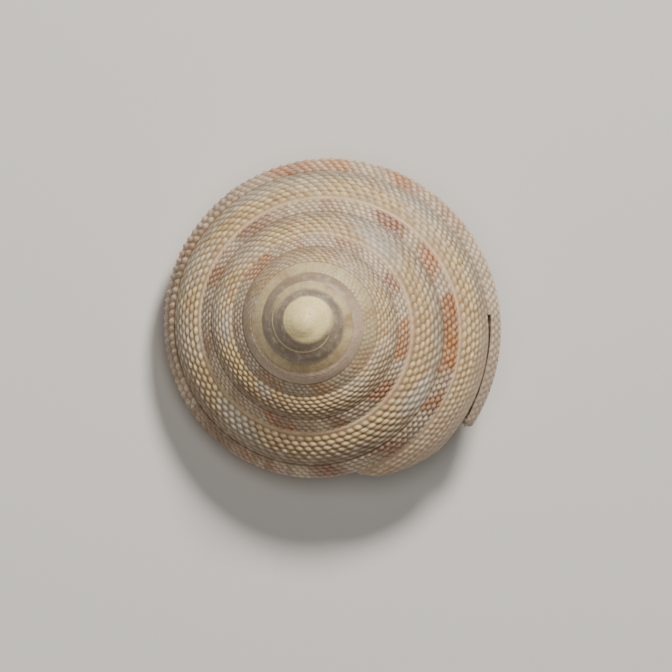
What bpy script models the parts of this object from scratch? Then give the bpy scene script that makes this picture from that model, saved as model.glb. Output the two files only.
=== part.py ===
"""Slit shell: a right-handed, top-shaped sea snail shell with a slit in its outer lip.

The shell is one closed solid. Its wall follows a growing spiral round the coil axis. A turn
number says how far along the spiral a point is: the photographed widest side is turn 0, whole
turns further back are -1, -2 and so on, and the lip lies a little past 0. Across the spiral a
station number runs from 0 at the upper suture, over the slit band and the keel at 1, under the
base to 2 at the columella and on to the shell's navel at 3.
"""
import bpy
import bmesh
from math import cos, pi, sin
from mathutils import Vector

MM = 0.001

# Growth of the shell: turn, keel radius, keel depth below the apex, slit band radius and depth,
# all in millimetres.
GROWTH = [
    (-6.5, 0.90, 0.44, 0.90, 0.44),
    (-6.0, 1.87, 1.02, 1.50, 0.76),
    (-5.5, 3.00, 1.98, 2.25, 1.30),
    (-5.0, 4.27, 3.08, 3.29, 2.24),
    (-4.5, 5.46, 4.19, 4.34, 3.18),
    (-4.0, 6.74, 5.36, 5.54, 4.36),
    (-3.5, 8.16, 6.71, 6.81, 5.53),
    (-3.0, 9.88, 8.30, 8.20, 6.88),
    (-2.5, 11.77, 10.23, 10.18, 8.55),
    (-2.0, 14.33, 12.58, 12.86, 10.72),
    (-1.75, 15.90, 13.94, 14.24, 11.74),
    (-1.5, 17.14, 15.42, 15.46, 13.05),
    (-1.25, 18.60, 17.03, 16.85, 14.40),
    (-1.0, 20.80, 18.78, 19.08, 15.90),
    (-0.75, 22.50, 20.72, 20.96, 17.76),
    (-0.5, 23.67, 22.80, 21.84, 19.28),
    (-0.25, 24.93, 25.03, 23.22, 21.36),
    (0.0, 26.05, 27.33, 24.92, 23.90),
    (0.25, 26.80, 29.68, 25.80, 26.17),
]

# Rows of the mesh along the spiral. The suture runs ahead of the keel by LEAD_ROWS rows, which
# is how far the lip and the growth lines sweep back from the suture to the slit.
ROWS_PER_TURN = 51
LEAD_ROWS = 6
LIP_TURN = 0.094
FIRST_ROW = -336
SLIT_ROWS = 5
SLIT_LENGTH = 0.1046
UPPER_LIP_REACH = 0.038
UPPER_LIP_BULGE = 0.021
COLUMELLA_LIP_BACK = 0.06
LIP_RAMP = 0.25

# Stations across the wall
BAND_TOP = 0.70
BAND_FOOT = 0.77
KEEL = 1.0
BASE_LOW = 1.6
COLUMELLA = 2.0
NAVEL = 3.0
FULL_ROUND = 6.0
HOLLOW_FLOOR = [0.91, 1.05, 1.15, 1.28, 1.42, 1.56, 1.72, 1.9]
HOLLOW_OUTER = [0.25, 0.40, 0.55, BAND_TOP, BAND_FOOT] + HOLLOW_FLOOR
HOLLOW_INNER = [1.9, 1.7, 1.5, 1.3, 1.12]
CORD_COUNT = 7
BASE_CORD_COUNT = 7

# Cross-section, as shares of the keel radius
BASE_DROP = 0.38
BASE_LOW_RADIUS = 0.50
COLUMELLA_RADIUS = 0.16
COLUMELLA_DROP = 0.31
CORD_HEIGHT = 0.0055
RIDGE_HEIGHT = 0.011
BAND_SINK = 0.005

NAVEL_DEPTH = 33.5
WALL_AT_LIP = 0.75
WALL_BEHIND = 1.0
CALLUS = 0.45
SLIT_NARROW = 0.35
HOLLOW_ROWS = 41
HOLLOW_END_ROWS = 5

SHELL_COLOUR = (0.72, 0.62, 0.48, 1.0)


def growth_at(turn):
    """Smooth values of the growth table at a turn."""
    last = len(GROWTH) - 1
    span = 0
    while span < last - 1 and turn > GROWTH[span + 1][0]:
        span += 1
    before, after = GROWTH[span], GROWTH[span + 1]
    width = after[0] - before[0]
    f = (turn - before[0]) / width
    values = []
    for column in range(1, 5):
        rise = (after[column] - before[column]) / width
        if span > 0:
            previous = GROWTH[span - 1]
            slope_in = (after[column] - previous[column]) / (after[0] - previous[0])
        else:
            slope_in = rise
        if span < last - 1:
            following = GROWTH[span + 2]
            slope_out = (following[column] - before[column]) / (following[0] - before[0])
        else:
            slope_out = rise
        if f < 0.0 or f > 1.0:
            end, slope, start = (before, slope_in, 0.0) if f < 0.0 else (after, slope_out, 1.0)
            values.append(end[column] + slope * (f - start) * width)
            continue
        h = f * f * (3.0 - 2.0 * f)
        value = before[column] * (1.0 - h) + after[column] * h
        value += slope_in * width * f * (1.0 - f) ** 2 - slope_out * width * f * f * (1.0 - f)
        values.append(value)
    return values


def bezier(points, f):
    """Point on the Bezier curve of any number of control points."""
    points = [Vector(point) for point in points]
    while len(points) > 1:
        points = [a.lerp(b, f) for a, b in zip(points, points[1:])]
    return points[0]


def section(turn, station):
    """Radius and depth of the smooth outer surface, in millimetres."""
    keel_r, keel_z, band_r, band_z = growth_at(turn)
    suture_r, suture_z = growth_at(max(turn - 1.0, GROWTH[0][0]))[:2]
    suture = Vector((suture_r, suture_z))
    band = Vector((band_r, band_z))
    keel = Vector((keel_r, keel_z))
    if station <= BAND_TOP:
        rise = band - suture
        shoulder = suture + Vector((0.62 * rise.x, 0.30 * rise.y))
        return bezier((suture, shoulder, band), station / BAND_TOP)
    if station <= KEEL:
        drop = keel - band
        below = band + Vector((0.52 * drop.x, 0.40 * drop.y))
        return bezier((band, below, keel), (station - BAND_TOP) / (KEEL - BAND_TOP))
    low = Vector((BASE_LOW_RADIUS * keel_r, keel_z + BASE_DROP * keel_r))
    edge = Vector((COLUMELLA_RADIUS * keel_r, keel_z + COLUMELLA_DROP * keel_r))
    if station <= BASE_LOW:
        flank = keel + Vector((0.004 * keel_r, 0.08 * keel_r))
        sole = low + Vector((0.36 * keel_r, 0.0))
        return bezier((keel, flank, sole, low), (station - KEEL) / (BASE_LOW - KEEL))
    if station <= COLUMELLA:
        sole = low - Vector((0.16 * keel_r, 0.0))
        bend = edge + Vector((0.10 * keel_r, 0.035 * keel_r))
        return bezier((low, sole, bend, edge), (station - BASE_LOW) / (COLUMELLA - BASE_LOW))
    foot = Vector((0.6 * edge.x, edge.y))
    navel = Vector((0.0, NAVEL_DEPTH))
    rim = navel + Vector((0.7 * edge.x, 0.0))
    return bezier((edge, foot, rim, navel), (station - COLUMELLA) / (NAVEL - COLUMELLA))


def outward(turn, station):
    """Direction that points out of the shell, in the plane through the axis."""
    step = 0.01
    tangent = section(turn, min(station + step, NAVEL)) - section(turn, station - step)
    return Vector((tangent.y, -tangent.x)).normalized()


def relief(turn, station):
    """Height of the ridge, the cords and the sunken slit band over the smooth surface."""
    size = growth_at(turn)[0]
    spacing = BAND_TOP / CORD_COUNT
    if abs(station - 0.5 * spacing) < 0.01:
        return RIDGE_HEIGHT * size
    if 0.0 < station < BAND_TOP - 0.01:
        return CORD_HEIGHT * size * -cos(2 * pi * station / spacing)
    if abs(station - BAND_TOP) < 0.01 or abs(station - BAND_FOOT) < 0.01:
        return -BAND_SINK * size
    if BAND_FOOT < station < KEEL:
        return CORD_HEIGHT * size
    if KEEL < station < COLUMELLA - 0.01:
        spacing = (COLUMELLA - KEEL) / BASE_CORD_COUNT
        return CORD_HEIGHT * size * cos(2 * pi * (station - KEEL) / spacing)
    return 0.0


def ramp(f):
    f = min(max(f, 0.0), 1.0)
    return f * f * (3.0 - 2.0 * f)


def turn_of(row, station):
    """Turn at which a mesh row crosses a station. Rows follow the growth lines."""
    turn = LIP_TURN + row / ROWS_PER_TURN
    if station < BAND_TOP:
        turn += LEAD_ROWS / ROWS_PER_TURN * (1.0 - station / BAND_TOP)
    if 0.0 < station <= BAND_TOP:
        near_lip = max(1.0 + row / ROWS_PER_TURN / SLIT_LENGTH, 0.0)
        across = station / BAND_TOP
        turn += (UPPER_LIP_REACH * across + UPPER_LIP_BULGE * sin(pi * across)) * near_lip
    if station > KEEL:
        near_lip = ramp(1.0 + row / ROWS_PER_TURN / LIP_RAMP)
        swing = min((station - KEEL) / (COLUMELLA - KEEL), 1.0)
        turn += (0.03 * sin(pi * swing) - COLUMELLA_LIP_BACK * swing) * near_lip
    if row == -SLIT_ROWS and station in (BAND_TOP, BAND_FOOT):
        turn -= SLIT_LENGTH - SLIT_ROWS / ROWS_PER_TURN
    return turn


def place(turn, point):
    """Point in space, in metres, from a turn and its radius and depth in millimetres."""
    angle = -2 * pi * turn
    return Vector((point.x * cos(angle), point.x * sin(angle), -point.y)) * MM


def slit_side(row, station):
    """Station of the slit's lower side, which comes closer to the upper side halfway."""
    if station == BAND_FOOT and row > -SLIT_ROWS:
        return BAND_FOOT - (BAND_FOOT - BAND_TOP) * (1.0 - SLIT_NARROW) * sin(-pi * row / SLIT_ROWS)
    return station


def outer_point(row, station):
    turn = turn_of(row, station)
    place_on = slit_side(row, station)
    point = section(turn, place_on) + outward(turn, place_on) * relief(turn, station)
    return place(turn, point)


def wall_at(row):
    return WALL_AT_LIP + (WALL_BEHIND - WALL_AT_LIP) * ramp(-row / ROWS_PER_TURN / LIP_RAMP)


def inner_point(row, station):
    """Inside of the wall, under the same station of the outside."""
    turn = turn_of(row, station)
    place_on = slit_side(row, station)
    return place(turn, section(turn, place_on) - outward(turn, place_on) * wall_at(row))


def corner_point(row):
    """Inner corner of the hollow, under the suture."""
    turn = turn_of(row, 0.0)
    wall = wall_at(row)
    return place(turn, section(turn, 0.0) + Vector((0.45 * wall, 1.6 * wall)))


def inner_wall_point(row, station):
    """Surface of the turn before, where it forms the inner side of the hollow."""
    turn = turn_of(row - ROWS_PER_TURN + LEAD_ROWS, station)
    return place(turn, section(turn, station) + outward(turn, station) * CALLUS)


def columella_point(row):
    """Middle of the columella, between the base of the hollow and its roof."""
    near = turn_of(row, HOLLOW_OUTER[-1])
    far = turn_of(row - ROWS_PER_TURN + LEAD_ROWS, HOLLOW_INNER[0]) + 1.0
    floor_point = section(near, HOLLOW_OUTER[-1]) - outward(near, HOLLOW_OUTER[-1]) * wall_at(row)
    roof_point = section(far - 1.0, HOLLOW_INNER[0]) + outward(far - 1.0, HOLLOW_INNER[0]) * CALLUS
    return place((near + far) / 2, (floor_point + roof_point) / 2)


def whorl_stations(row):
    """Stations from the suture to the keel, fewer on the small early turns."""
    turn = LIP_TURN + row / ROWS_PER_TURN
    if turn < -4.5:
        return [0.0, 0.22, BAND_TOP, KEEL]
    if turn < -2.0:
        return [0.0, 0.05, 0.15, 0.42, BAND_TOP, BAND_FOOT, 0.88, KEEL]
    half_cord = BAND_TOP / CORD_COUNT / 2
    cords = [index * half_cord for index in range(2 * CORD_COUNT)]
    return cords + [BAND_TOP, BAND_FOOT, 0.83, 0.91, KEEL]


def base_stations():
    steps = 2 * BASE_CORD_COUNT
    under = [KEEL + (COLUMELLA - KEEL) * index / steps for index in range(1, steps)]
    return under + [COLUMELLA, 2.3, 2.65]


def bridge(mesh, one, other):
    """Faces between two rows of (station, vertex) pairs, which may differ in number."""
    i, j = 0, 0
    while i < len(one) - 1 or j < len(other) - 1:
        next_i = one[i + 1][0] if i < len(one) - 1 else 1e9
        next_j = other[j + 1][0] if j < len(other) - 1 else 1e9
        corners = [one[i][1]]
        if next_i <= next_j + 1e-6:
            i += 1
            corners.append(one[i][1])
            if abs(next_i - next_j) <= 1e-6:
                corners.append(other[j + 1][1])
        else:
            corners.append(other[j + 1][1])
        corners.append(other[j][1])
        if next_j <= next_i + 1e-6:
            j += 1
        corners = list(dict.fromkeys(corners))
        if len(corners) > 2:
            mesh.faces.new(corners)


def build_outside(mesh):
    """Outer surface from the first small turn to the lip. Returns its rows of vertices."""
    rows = {}
    for row in range(FIRST_ROW, 1):
        joined = rows.get(row - ROWS_PER_TURN + LEAD_ROWS)
        line = []
        for station in whorl_stations(row):
            if row == FIRST_ROW and station > 0.0:
                vertex = line[0][1]
            elif station == 0.0 and joined:
                vertex = joined[-1][1]
            else:
                vertex = mesh.verts.new(outer_point(row, station))
            line.append((station, vertex))
        rows[row] = line
    for row in range(FIRST_ROW, 0):
        one, other = rows[row], rows[row + 1]
        if row < -SLIT_ROWS:
            bridge(mesh, one, other)
            continue
        bridge(mesh, [p for p in one if p[0] <= BAND_TOP], [p for p in other if p[0] <= BAND_TOP])
        bridge(mesh, [p for p in one if p[0] >= BAND_FOOT], [p for p in other if p[0] >= BAND_FOOT])
    return rows


def build_apex(mesh, rows):
    """Small dome inside the first turn."""
    loop = [rows[FIRST_ROW + step][0][1] for step in range(ROWS_PER_TURN - LEAD_ROWS)]
    top = mesh.verts.new(Vector((0.0, 0.0, -0.25 * MM)))
    for here, following in zip(loop, loop[1:] + loop[:1]):
        mesh.faces.new((top, here, following))


def build_base(mesh, rows):
    """Underside of the last turn, and its navel. Returns the first and the last row of it."""
    first = LEAD_ROWS - ROWS_PER_TURN
    navel = mesh.verts.new(Vector((0.0, 0.0, -NAVEL_DEPTH * MM)))
    lines = {}
    for row in range(first, 1):
        line = [rows[row][-1]]
        line += [(station, mesh.verts.new(outer_point(row, station))) for station in base_stations()]
        lines[row] = line + [(NAVEL, navel)]
    for row in range(first, 0):
        bridge(mesh, lines[row], lines[row + 1])
    return lines[first], lines[0]


def build_hollow(mesh):
    """Inside of the last turn: rings of vertices from the lip back to a closed end."""
    rings = {}
    for row in range(-HOLLOW_ROWS, 1):
        points = [(0.0, corner_point(row))]
        points += [(station, inner_point(row, station)) for station in HOLLOW_OUTER]
        points.append((NAVEL, columella_point(row)))
        points += [(FULL_ROUND - station, inner_wall_point(row, station)) for station in HOLLOW_INNER]
        middle = sum((point for _, point in points), Vector()) / len(points)
        closed = 1.0 - ramp((row + HOLLOW_ROWS) / HOLLOW_END_ROWS)
        ring = [(key, mesh.verts.new(point.lerp(middle, 0.7 * closed))) for key, point in points]
        rings[row] = ring + [(FULL_ROUND, ring[0][1])]
    for row in range(-HOLLOW_ROWS, 0):
        one, other = rings[row + 1], rings[row]
        if row < -SLIT_ROWS:
            bridge(mesh, one, other)
            continue
        bridge(mesh, [p for p in one if p[0] <= BAND_TOP], [p for p in other if p[0] <= BAND_TOP])
        bridge(mesh, [p for p in one if p[0] >= BAND_FOOT], [p for p in other if p[0] >= BAND_FOOT])
    mesh.faces.new([vertex for _, vertex in rings[-HOLLOW_ROWS][:-1]])
    return rings


def vertex_at(line, station):
    return next(vertex for key, vertex in line if abs(key - station) < 1e-6)


def build_slit_and_rim(mesh, rows, rings, base_start, base_end):
    """Sides and end of the slit, and the edge of the lip round the mouth."""
    for station, flip in ((BAND_TOP, False), (BAND_FOOT, True)):
        outside = [(row, vertex_at(rows[row], station)) for row in range(-SLIT_ROWS, 1)]
        inside = [(row, vertex_at(rings[row], station)) for row in range(-SLIT_ROWS, 1)]
        if flip:
            outside, inside = inside, outside
        bridge(mesh, outside, inside)
    ends = [(station, vertex_at(rows[-SLIT_ROWS], station)) for station in (BAND_TOP, BAND_FOOT)]
    behind = [(station, vertex_at(rings[-SLIT_ROWS], station)) for station in (BAND_TOP, BAND_FOOT)]
    bridge(mesh, ends, behind)
    lip = rows[0] + base_end[1:]
    lip += [(FULL_ROUND - station, vertex) for station, vertex in reversed(base_start[:-1])]
    lip[-1] = (FULL_ROUND, rows[0][0][1])
    ring = rings[0]
    bridge(mesh, [p for p in lip if p[0] <= BAND_TOP], [p for p in ring if p[0] <= BAND_TOP])
    bridge(mesh, [p for p in lip if p[0] >= BAND_FOOT], [p for p in ring if p[0] >= BAND_FOOT])


def resting_turn(mesh):
    """Rotation that lays the shell on the flat of its convex hull under its centre of mass."""
    centre = Vector()
    volume = 0.0
    for face in mesh.faces:
        a, b, c = (vertex.co for vertex in face.verts)
        part = a.dot(b.cross(c)) / 6.0
        centre += part * (a + b + c) / 4.0
        volume += part
    centre /= volume
    hull = mesh.copy()
    result = bmesh.ops.convex_hull(hull, input=hull.verts)
    best = None
    for face in (item for item in result["geom"] if isinstance(item, bmesh.types.BMFace)):
        normal = face.normal.copy()
        if normal.length < 0.5 or normal.z > -0.85:
            continue
        foot = centre + normal * (face.verts[0].co - centre).dot(normal)
        corners = [vertex.co for vertex in face.verts]
        sides = zip(corners, corners[1:] + corners[:1])
        if all((b - a).cross(foot - a).dot(normal) >= 0.0 for a, b in sides):
            best = normal
    hull.free()
    return best.rotation_difference(Vector((0.0, 0.0, -1.0)))


def shell_material():
    material = bpy.data.materials.new("shell")
    material.use_nodes = True
    surface = material.node_tree.nodes["Principled BSDF"]
    surface.inputs["Base Color"].default_value = SHELL_COLOUR
    surface.inputs["Roughness"].default_value = 0.42
    surface.inputs["Metallic"].default_value = 0.0
    return material


def build_shell():
    mesh = bmesh.new()
    rows = build_outside(mesh)
    build_apex(mesh, rows)
    base_start, base_end = build_base(mesh, rows)
    rings = build_hollow(mesh)
    build_slit_and_rim(mesh, rows, rings, base_start, base_end)
    bmesh.ops.recalc_face_normals(mesh, faces=mesh.faces)
    bmesh.ops.triangulate(mesh, faces=mesh.faces, quad_method="SHORT_EDGE")
    mesh.faces.ensure_lookup_table()
    if mesh.calc_volume(signed=True) < 0.0:
        bmesh.ops.reverse_faces(mesh, faces=mesh.faces)
    bmesh.ops.rotate(mesh, verts=mesh.verts, matrix=resting_turn(mesh).to_matrix())
    xs, ys, zs = ([vertex.co[axis] for vertex in mesh.verts] for axis in range(3))
    shift = Vector((-(min(xs) + max(xs)) / 2, -(min(ys) + max(ys)) / 2, -min(zs)))
    bmesh.ops.translate(mesh, verts=mesh.verts, vec=shift)
    data = bpy.data.meshes.new("shell")
    mesh.to_mesh(data)
    mesh.free()
    data.shade_smooth()
    data.materials.append(shell_material())
    shell = bpy.data.objects.new("shell", data)
    bpy.context.collection.objects.link(shell)
    return shell


for leftover in list(bpy.data.objects):
    bpy.data.objects.remove(leftover)
build_shell()
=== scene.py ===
import bpy
import numpy as np
from math import cos, pi, radians, sin
from mathutils import Matrix, Vector


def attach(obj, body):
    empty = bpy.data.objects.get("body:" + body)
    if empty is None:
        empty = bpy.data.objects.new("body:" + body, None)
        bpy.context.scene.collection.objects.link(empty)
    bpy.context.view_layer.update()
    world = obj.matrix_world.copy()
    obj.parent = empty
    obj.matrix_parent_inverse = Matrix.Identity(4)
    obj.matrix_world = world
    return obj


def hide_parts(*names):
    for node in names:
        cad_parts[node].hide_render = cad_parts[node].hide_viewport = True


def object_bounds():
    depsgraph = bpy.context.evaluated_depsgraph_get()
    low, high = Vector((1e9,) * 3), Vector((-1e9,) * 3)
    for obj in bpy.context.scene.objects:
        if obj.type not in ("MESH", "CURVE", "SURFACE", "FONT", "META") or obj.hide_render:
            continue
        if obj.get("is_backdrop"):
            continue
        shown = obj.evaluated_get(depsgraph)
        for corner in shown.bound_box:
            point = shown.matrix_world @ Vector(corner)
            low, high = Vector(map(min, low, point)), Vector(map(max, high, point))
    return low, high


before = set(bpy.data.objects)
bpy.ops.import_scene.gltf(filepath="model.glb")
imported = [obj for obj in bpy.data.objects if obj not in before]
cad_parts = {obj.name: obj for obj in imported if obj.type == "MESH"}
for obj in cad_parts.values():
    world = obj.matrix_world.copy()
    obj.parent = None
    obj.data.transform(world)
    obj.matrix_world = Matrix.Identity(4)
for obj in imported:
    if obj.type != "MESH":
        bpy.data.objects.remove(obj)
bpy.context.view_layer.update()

# Looks of the slit shell: the CAD solid's own surface, drawn again with its beads, cords and
# colours. A turn number says how far along the spiral a point is, and a station number says how
# far across it is: 0 at the upper suture, 1 at the keel, 2 at the columella, 3 at the navel.
# Growth table and section are those of the CAD source, in millimetres.
MM = 0.001
GROWTH = np.array([
    (-6.5, 0.90, 0.44, 0.90, 0.44),
    (-6.0, 1.87, 1.02, 1.50, 0.76),
    (-5.5, 3.00, 1.98, 2.25, 1.30),
    (-5.0, 4.27, 3.08, 3.29, 2.24),
    (-4.5, 5.46, 4.19, 4.34, 3.18),
    (-4.0, 6.74, 5.36, 5.54, 4.36),
    (-3.5, 8.16, 6.71, 6.81, 5.53),
    (-3.0, 9.88, 8.30, 8.20, 6.88),
    (-2.5, 11.77, 10.23, 10.18, 8.55),
    (-2.0, 14.33, 12.58, 12.86, 10.72),
    (-1.75, 15.90, 13.94, 14.24, 11.74),
    (-1.5, 17.14, 15.42, 15.46, 13.05),
    (-1.25, 18.60, 17.03, 16.85, 14.40),
    (-1.0, 20.80, 18.78, 19.08, 15.90),
    (-0.75, 22.50, 20.72, 20.96, 17.76),
    (-0.5, 23.67, 22.80, 21.84, 19.28),
    (-0.25, 24.93, 25.03, 23.22, 21.36),
    (0.0, 26.05, 27.33, 24.92, 23.90),
    (0.25, 26.80, 29.68, 25.80, 26.17),
])
FINE = 16
ROWS_PER_TURN = 51 * FINE
LEAD_ROWS = 6 * FINE
LEAD = 6.0 / 51.0
LIP_TURN = 0.094
FIRST_ROW = -336 * FINE
SLIT_LENGTH = 0.1046
SLIT_ROWS = int(round(SLIT_LENGTH * ROWS_PER_TURN))
UPPER_LIP_REACH = 0.038
UPPER_LIP_BULGE = 0.021
COLUMELLA_LIP_BACK = 0.06
LIP_RAMP = 0.25
BAND_TOP = 0.70
BAND_FOOT = 0.77
KEEL = 1.0
BASE_LOW = 1.6
COLUMELLA = 2.0
NAVEL = 3.0
BASE_DROP = 0.38
BASE_LOW_RADIUS = 0.50
COLUMELLA_RADIUS = 0.16
COLUMELLA_DROP = 0.31
NAVEL_DEPTH = 33.5
FIRST_TURN = -6.5
APEX_DEPTH = 0.25
WALL_AT_LIP = 0.75
WALL_BEHIND = 1.0
CALLUS = 0.45
SLIT_NARROW = 0.35
HOLLOW_ROWS = 41 * FINE
HOLLOW_END_ROWS = 5 * FINE

# Where the coil stands at rest: its upward direction in the coil's own frame, and its apex.
UP_IN_COIL = Vector((0.28355706, 0.10238786, 0.95347371))
COIL_ORIGIN = Vector((-0.00834208, -0.00344864, 0.03413246))

# Sculpture. Bead rows of the upper side are counted outward from row 0 at the suture. Each entry
# has a turn, where row 0 lies there as a share of the way to the slit band, the step from row 0
# to row 1, and how much shorter each further step is.
ROW_PLACES = np.array([
    (-1.9, 0.120, 0.150, 0.0015),
    (-1.1, 0.095, 0.146, 0.0022),
    (-0.8, 0.055, 0.148, 0.0032),
])
STRIP_FIRST_ROW = 0.735
STRIP_ROW_STEP = 0.09
BASE_CORDS = 18
# Heights and depths of the sculpture, as shares of the keel radius
UPPER_CORD_HEIGHT, UPPER_BEAD_HEIGHT = 0.0026, 0.0106
STRIP_CORD_HEIGHT, STRIP_BEAD_HEIGHT, BLOCK_EXTRA_HEIGHT = 0.0022, 0.0122, 0.005
BASE_CORD_HEIGHT, BASE_BEAD_HEIGHT, KEEL_EXTRA_HEIGHT = 0.0034, 0.0080, 0.0050
SUTURE_RIDGE_HEIGHT, GROWTH_LINE_HEIGHT = 0.0060, 0.0011
BAND_GROOVE_DEPTH, PIT_DEPTH = 0.0060, 0.010
# Millimetres taken off the outside and the inside at the very edge of the lip
LIP_OFF_OUTSIDE, LIP_OFF_INSIDE = 0.25, 0.15


def ease(value, start, end):
    """Smooth step from 0 at start to 1 at end."""
    f = np.clip((value - start) / (end - start), 0.0, 1.0)
    return f * f * (3.0 - 2.0 * f)


def hump(value, centre, half):
    return ease(1.0 - np.abs(value - centre) / half, 0.0, 1.0)


def plateau(value, start, end, edge):
    return ease(value, start - edge, start + edge) * (1.0 - ease(value, end - edge, end + edge))


def growth_at(turn):
    """Keel radius, keel depth, band radius and band depth at each turn."""
    turns, values = GROWTH[:, 0], GROWTH[:, 1:]
    slopes = np.empty_like(values)
    slopes[1:-1] = (values[2:] - values[:-2]) / (turns[2:] - turns[:-2])[:, None]
    slopes[0] = (values[1] - values[0]) / (turns[1] - turns[0])
    slopes[-1] = (values[-1] - values[-2]) / (turns[-1] - turns[-2])
    span = np.clip(np.searchsorted(turns, turn) - 1, 0, len(turns) - 2)
    width = (turns[span + 1] - turns[span])[..., None]
    f = (turn - turns[span])[..., None] / width
    inner = np.clip(f, 0.0, 1.0)
    h = inner * inner * (3.0 - 2.0 * inner)
    rise_in = slopes[span] * width * inner * (1.0 - inner) ** 2
    rise_out = slopes[span + 1] * width * inner * inner * (1.0 - inner)
    value = values[span] * (1.0 - h) + values[span + 1] * h + rise_in - rise_out
    value += slopes[span] * width * np.minimum(f, 0.0)
    value += slopes[span + 1] * width * np.maximum(f - 1.0, 0.0)
    return value[..., 0:2], value[..., 2:4]


def quadratic(a, b, c, f):
    f = f[..., None]
    return a * (1 - f) ** 2 + 2 * b * f * (1 - f) + c * f * f


def cubic(a, b, c, d, f):
    f = f[..., None]
    return a * (1 - f) ** 3 + 3 * b * f * (1 - f) ** 2 + 3 * c * f * f * (1 - f) + d * f ** 3


def section(turn, station):
    """Radius and depth of the smooth outer surface, in millimetres."""
    turn, station = np.broadcast_arrays(np.asarray(turn, float), np.asarray(station, float))
    keel, band = growth_at(turn)
    suture = growth_at(np.maximum(turn - 1.0, GROWTH[0, 0]))[0]
    size = keel[..., :1]
    across, down = np.array([1.0, 0.0]), np.array([0.0, 1.0])
    upper = quadratic(suture, suture + (band - suture) * (0.62, 0.30), band, station / BAND_TOP)
    lower = quadratic(band, band + (keel - band) * (0.52, 0.40), keel,
                      (station - BAND_TOP) / (KEEL - BAND_TOP))
    low = keel * down + size * (BASE_LOW_RADIUS * across + BASE_DROP * down)
    edge = keel * down + size * (COLUMELLA_RADIUS * across + COLUMELLA_DROP * down)
    flank = cubic(keel, keel + size * (0.004, 0.08), low + size * (0.36, 0.0), low,
                  (station - KEEL) / (BASE_LOW - KEEL))
    sole = cubic(low, low - size * (0.16, 0.0), edge + size * (0.10, 0.035), edge,
                 (station - BASE_LOW) / (COLUMELLA - BASE_LOW))
    navel = NAVEL_DEPTH * down
    core = cubic(edge, edge * (0.6, 1.0), navel + edge * (0.7, 0.0), navel * np.ones_like(edge),
                 (station - COLUMELLA) / (NAVEL - COLUMELLA))
    where = station[..., None]
    return np.where(where <= BAND_TOP, upper, np.where(where <= KEEL, lower, np.where(
        where <= BASE_LOW, flank, np.where(where <= COLUMELLA, sole, core))))


def outward(turn, station):
    """Direction that points out of the shell, in the plane through the axis."""
    step = 0.01
    ahead = section(turn, np.minimum(station + step, NAVEL))
    tangent = ahead - section(turn, station - step)
    normal = np.stack([tangent[..., 1], -tangent[..., 0]], -1)
    return normal / np.linalg.norm(normal, axis=-1, keepdims=True)


def turn_of(row, station):
    """Turn at which a mesh row crosses a station. Rows follow the growth lines."""
    g = row / ROWS_PER_TURN
    x = np.clip(station / BAND_TOP, 0.0, 1.0)
    turn = LIP_TURN + g + LEAD * (1.0 - x)
    on_upper = (station > 0.0) & (station <= BAND_TOP)
    reach = UPPER_LIP_REACH * x + UPPER_LIP_BULGE * np.sin(pi * x)
    turn = turn + np.where(on_upper, reach * np.maximum(1.0 + g / SLIT_LENGTH, 0.0), 0.0)
    swing = np.clip((station - KEEL) / (COLUMELLA - KEEL), 0.0, 1.0)
    near_lip = ease(1.0 + g / LIP_RAMP, 0.0, 1.0)
    return turn + (0.03 * np.sin(pi * swing) - COLUMELLA_LIP_BACK * swing) * near_lip


def slit_side(row, station):
    """Stations just below the slit come closer to its upper side halfway along."""
    f = np.clip(-row / SLIT_ROWS, 0.0, 1.0)
    pull = (BAND_FOOT - BAND_TOP) * (1.0 - SLIT_NARROW) * np.sin(pi * f)
    near = 1.0 - ease(station, BAND_FOOT, BAND_FOOT + 0.10)
    return np.where(station >= BAND_FOOT, station - pull * near, station)


def place(turn, point):
    angle = -2 * pi * turn
    radius, depth = point[..., 0], point[..., 1]
    return np.stack([radius * np.cos(angle), radius * np.sin(angle), -depth], -1) * MM


# How many beads there are in a whole turn of a row, which grows with the shell: turn, inner rows,
# outer rows, rows of the strip between the slit band and the keel
COUNTS = np.array([
    (-6.5, 52, 52, 62),
    (-2.6, 60, 60, 72),
    (-1.85, 66, 66, 87),
    (-1.15, 75, 75, 112),
    (-0.72, 84, 84, 121),
    (-0.25, 92, 92, 121),
    (-0.10, 96, 136, 136),
    (0.02, 98, 140, 140),
    (0.06, 132, 140, 140),
    (0.30, 132, 140, 140),
])
PHASE_TURNS = np.linspace(-7.0, 0.5, 7501)
PHASES = [np.cumsum(np.interp(PHASE_TURNS, COUNTS[:, 0], COUNTS[:, kind])) * 0.001 for kind in (1, 2, 3)]


def row_number(turn, x):
    """Which bead row of the upper side lies at x, as a number with a fraction."""
    first, step, less = (np.interp(turn, ROW_PLACES[:, 0], ROW_PLACES[:, c]) for c in (1, 2, 3))
    return (step - np.sqrt(step * step - 4.0 * less * (x - first))) / (2.0 * less)


def bead_shape(off_row, off_bead, long_half, wide_half):
    """(dome height, colour mask) of one bead at offsets from its middle."""
    away = np.sqrt((off_bead / long_half) ** 2 + (off_row / wide_half) ** 2)
    return 1.0 - ease(away, 0.1, 1.12), 1.0 - ease(away, 0.45, 1.1)


def bead_lattice(rows_across, beads_along, slant=0.0, long_half=0.48, wide_half=0.52):
    """(bead, mask, cord) of rows of slanted beads, each row half a bead on from the last."""
    index = np.round(rows_across)
    off_row = rows_across - index
    along = beads_along + 0.5 * index
    off_bead = along - np.round(along) + 0.12 * off_row
    bead, mask = bead_shape(off_row + slant * off_bead, off_bead, long_half, wide_half)
    return bead, mask, np.cos(pi * off_row) ** 1.3


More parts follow.
